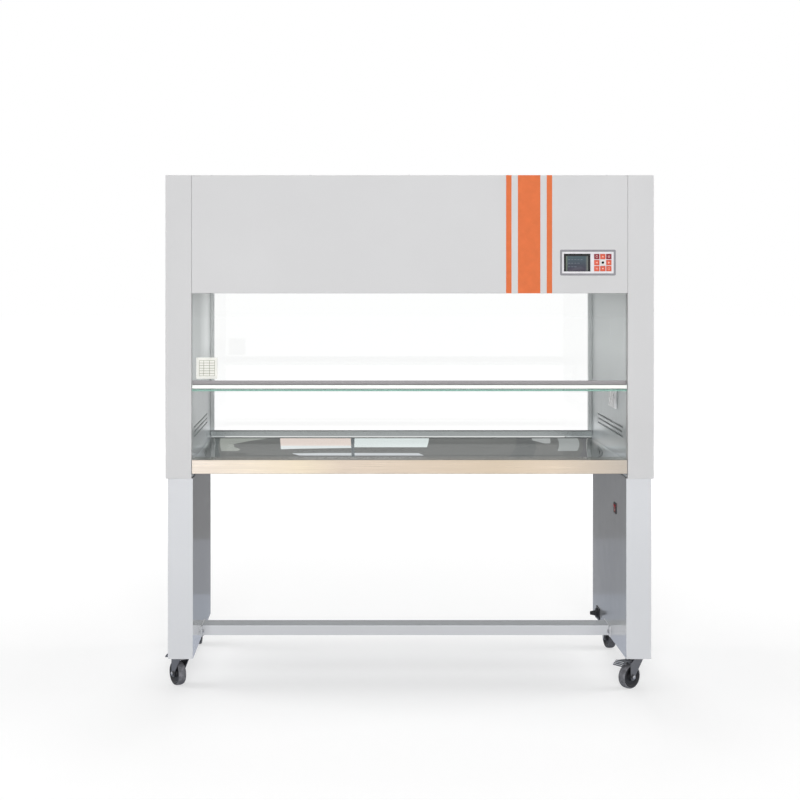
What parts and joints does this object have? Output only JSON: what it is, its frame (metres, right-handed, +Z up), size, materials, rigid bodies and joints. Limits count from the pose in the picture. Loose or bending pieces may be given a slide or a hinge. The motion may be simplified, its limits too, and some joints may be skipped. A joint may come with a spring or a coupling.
{
  "type": "vertical laminar flow cabinet",
  "caption": "Clean air work bench with a counterbalanced glass sash, polished steel table, filter head with orange stripes, and a stand on swivel casters.",
  "frame": {"origin": "on the floor under the middle of the cabinet's body", "axes": "+X to the right seen from the front, +Y to the back, +Z up"},
  "size_m": [1.5169, 0.7533, 1.592],
  "materials": {
    "body_paint": "satin powder coat",
    "leg_paint": "satin powder coat",
    "chamber_wall": "fine brushed stainless",
    "table_steel": "polished stainless",
    "plain_steel": "zinc coated sheet",
    "aluminium_rail": "satin anodised",
    "clear_glass": "clear float glass",
    "stripe_film": "satin film",
    "panel_plastic": "glossy moulding",
    "display_black": "glossy screen",
    "key_orange": "satin",
    "key_crimson": "satin",
    "key_white": "satin",
    "socket_white": "glossy moulding",
    "black_plastic": "satin moulding",
    "rocker_red": "glossy moulding",
    "tube_glass": "opal tube",
    "holder_white": "satin moulding",
    "filter_media": "pleated glass paper",
    "weight_iron": "bare bar",
    "cord_steel": "wire rope",
    "guide_plastic": "satin moulding",
    "pulley_plastic": "satin moulding",
    "caster_steel": "zinc plated pressing",
    "tyre_black": "satin rubber"
  },
  "bodies": {
    "cabinet": {"side_housing_left": "body_paint", "side_housing_right": "body_paint", "inner_wall_left": "chamber_wall", "inner_wall_right": "chamber_wall", "head_front_panel": "body_paint", "head_rear_panel": "body_paint", "top_cover": "body_paint", "pre_filter": "filter_media", "plenum_box": "plain_steel", "hepa_filter": "filter_media", "diffuser_plate": "body_paint", "blowers": "plain_steel", "lamp_tube": "tube_glass", "germicidal_tube": "tube_glass", "lamp_holders": "holder_white", "work_table": "table_steel", "table_beams": "plain_steel", "rear_glass_frame": "aluminium_rail", "rear_glass": "clear_glass", "leg_left": "leg_paint", "leg_right": "leg_paint", "stretcher_bar": "leg_paint", "sash_guides": "guide_plastic", "sash_cords": "cord_steel", "control_bezel": "panel_plastic", "display_module": "display_black", "front_stripes": "stripe_film", "power_socket": "socket_white", "switch_frame": "black_plastic", "cable_outlet": "black_plastic", "caster_plates": "caster_steel"},
    "sash": {"sash_glass": "clear_glass", "sash_handle": "aluminium_rail", "sash_top_rail": "aluminium_rail"},
    "pulley_left": {"pulley_left": "pulley_plastic"},
    "pulley_right": {"pulley_right": "pulley_plastic"},
    "counterweight_left": {"counterweight_left": "weight_iron"},
    "counterweight_right": {"counterweight_right": "weight_iron"},
    "impeller_left": {"impeller_left": "plain_steel"},
    "impeller_right": {"impeller_right": "plain_steel"},
    "power_rocker": {"power_rocker": "rocker_red"},
    "key_top_left": {"key_top_left": "key_crimson"},
    "key_top_middle": {"key_top_middle": "key_orange"},
    "key_top_right": {"key_top_right": "key_crimson"},
    "key_middle_left": {"key_middle_left": "key_orange"},
    "key_centre": {"key_centre": "key_white"},
    "key_middle_right": {"key_middle_right": "key_orange"},
    "key_bottom_left": {"key_bottom_left": "key_orange"},
    "key_bottom_middle": {"key_bottom_middle": "key_orange"},
    "key_bottom_right": {"key_bottom_right": "key_orange"},
    "caster_front_left": {"caster_fork_front_left": "caster_steel"},
    "wheel_front_left": {"caster_wheel_front_left": "tyre_black"},
    "pedal_front_left": {"brake_pedal_front_left": "caster_steel"},
    "caster_front_right": {"caster_fork_front_right": "caster_steel"},
    "wheel_front_right": {"caster_wheel_front_right": "tyre_black"},
    "pedal_front_right": {"brake_pedal_front_right": "caster_steel"},
    "caster_rear_left": {"caster_fork_rear_left": "caster_steel"},
    "wheel_rear_left": {"caster_wheel_rear_left": "tyre_black"},
    "caster_rear_right": {"caster_fork_rear_right": "caster_steel"},
    "wheel_rear_right": {"caster_wheel_rear_right": "tyre_black"}
  },
  "joints": [
    {"name": "sash_slide", "type": "slide", "parent": "cabinet", "child": "sash", "axis": [0, 0, 1], "range_m": [-0.205, 0.055], "deforming": ["sash_cords"]},
    {"name": "counterweight_left_slide", "type": "slide", "parent": "cabinet", "child": "counterweight_left", "axis": [0, 0, 1], "range_m": [-0.056, 0.206]},
    {"name": "pulley_left_spin", "type": "hinge", "parent": "cabinet", "child": "pulley_left", "pos_m": [-0.683, -0.3522, 1.544], "axis": [0, 1, 0], "continuous": true},
    {"name": "impeller_left_spin", "type": "hinge", "parent": "cabinet", "child": "impeller_left", "pos_m": [-0.34, 0, 1.484], "axis": [1, 0, 0], "continuous": true},
    {"name": "counterweight_right_slide", "type": "slide", "parent": "cabinet", "child": "counterweight_right", "axis": [0, 0, 1], "range_m": [-0.056, 0.206]},
    {"name": "pulley_right_spin", "type": "hinge", "parent": "cabinet", "child": "pulley_right", "pos_m": [0.683, -0.3522, 1.544], "axis": [0, 1, 0], "continuous": true},
    {"name": "impeller_right_spin", "type": "hinge", "parent": "cabinet", "child": "impeller_right", "pos_m": [0.34, 0, 1.484], "axis": [1, 0, 0], "continuous": true},
    {"name": "key_top_left_press", "type": "slide", "parent": "cabinet", "child": "key_top_left", "axis": [0, 1, 0], "range_m": [0, 0.0008], "stiffness_N_per_m": 600},
    {"name": "key_top_middle_press", "type": "slide", "parent": "cabinet", "child": "key_top_middle", "axis": [0, 1, 0], "range_m": [0, 0.0008], "stiffness_N_per_m": 600},
    {"name": "key_top_right_press", "type": "slide", "parent": "cabinet", "child": "key_top_right", "axis": [0, 1, 0], "range_m": [0, 0.0008], "stiffness_N_per_m": 600},
    {"name": "key_middle_left_press", "type": "slide", "parent": "cabinet", "child": "key_middle_left", "axis": [0, 1, 0], "range_m": [0, 0.0008], "stiffness_N_per_m": 600},
    {"name": "key_centre_press", "type": "slide", "parent": "cabinet", "child": "key_centre", "axis": [0, 1, 0], "range_m": [0, 0.0008], "stiffness_N_per_m": 600},
    {"name": "key_middle_right_press", "type": "slide", "parent": "cabinet", "child": "key_middle_right", "axis": [0, 1, 0], "range_m": [0, 0.0008], "stiffness_N_per_m": 600},
    {"name": "key_bottom_left_press", "type": "slide", "parent": "cabinet", "child": "key_bottom_left", "axis": [0, 1, 0], "range_m": [0, 0.0008], "stiffness_N_per_m": 600},
    {"name": "key_bottom_middle_press", "type": "slide", "parent": "cabinet", "child": "key_bottom_middle", "axis": [0, 1, 0], "range_m": [0, 0.0008], "stiffness_N_per_m": 600},
    {"name": "key_bottom_right_press", "type": "slide", "parent": "cabinet", "child": "key_bottom_right", "axis": [0, 1, 0], "range_m": [0, 0.0008], "stiffness_N_per_m": 600},
    {"name": "power_rocker_tilt", "type": "hinge", "parent": "cabinet", "child": "power_rocker", "pos_m": [0.666, -0.175, 0.5405], "axis": [0, 1, 0], "range_deg": [0, 18]},
    {"name": "caster_front_left_swivel", "type": "hinge", "parent": "cabinet", "child": "caster_front_left", "pos_m": [-0.708, -0.293, 0.09], "axis": [0, 0, 1], "continuous": true},
    {"name": "wheel_front_left_spin", "type": "hinge", "parent": "caster_front_left", "child": "wheel_front_left", "pos_m": [-0.72284, -0.26926, 0.0375], "axis": [-0.848, -0.5299, 0], "continuous": true},
    {"name": "brake_pedal_front_left_tilt", "type": "hinge", "parent": "caster_front_left", "child": "pedal_front_left", "pos_m": [-0.71913, -0.27519, 0.083], "axis": [-0.848, -0.5299, 0], "range_deg": [0, 10]},
    {"name": "caster_front_right_swivel", "type": "hinge", "parent": "cabinet", "child": "caster_front_right", "pos_m": [0.708, -0.293, 0.09], "axis": [0, 0, 1], "continuous": true},
    {"name": "wheel_front_right_spin", "type": "hinge", "parent": "caster_front_right", "child": "wheel_front_right", "pos_m": [0.68564, -0.30985, 0.0375], "axis": [0.6018, -0.7986, 0], "continuous": true},
    {"name": "brake_pedal_front_right_tilt", "type": "hinge", "parent": "caster_front_right", "child": "pedal_front_right", "pos_m": [0.69123, -0.30564, 0.083], "axis": [0.6018, -0.7986, 0], "range_deg": [0, 10]},
    {"name": "caster_rear_left_swivel", "type": "hinge", "parent": "cabinet", "child": "caster_rear_left", "pos_m": [-0.708, 0.245, 0.09], "axis": [0, 0, 1], "continuous": true},
    {"name": "wheel_rear_left_spin", "type": "hinge", "parent": "caster_rear_left", "child": "wheel_rear_left", "pos_m": [-0.708, 0.273, 0.0375], "axis": [-1, 0, 0], "continuous": true},
    {"name": "caster_rear_right_swivel", "type": "hinge", "parent": "cabinet", "child": "caster_rear_right", "pos_m": [0.708, 0.245, 0.09], "axis": [0, 0, 1], "continuous": true},
    {"name": "wheel_rear_right_spin", "type": "hinge", "parent": "caster_rear_right", "child": "wheel_rear_right", "pos_m": [0.71286, 0.21743, 0.0375], "axis": [0.9848, 0.1736, 0], "continuous": true}
  ],
  "couplings": [
    {"joint": "counterweight_left_slide", "follows": "sash_slide", "ratio": -1},
    {"joint": "pulley_left_spin", "follows": "sash_slide", "rad_per_m": -34.483},
    {"joint": "counterweight_right_slide", "follows": "sash_slide", "ratio": -1},
    {"joint": "pulley_right_spin", "follows": "sash_slide", "rad_per_m": 34.483}
  ]
}
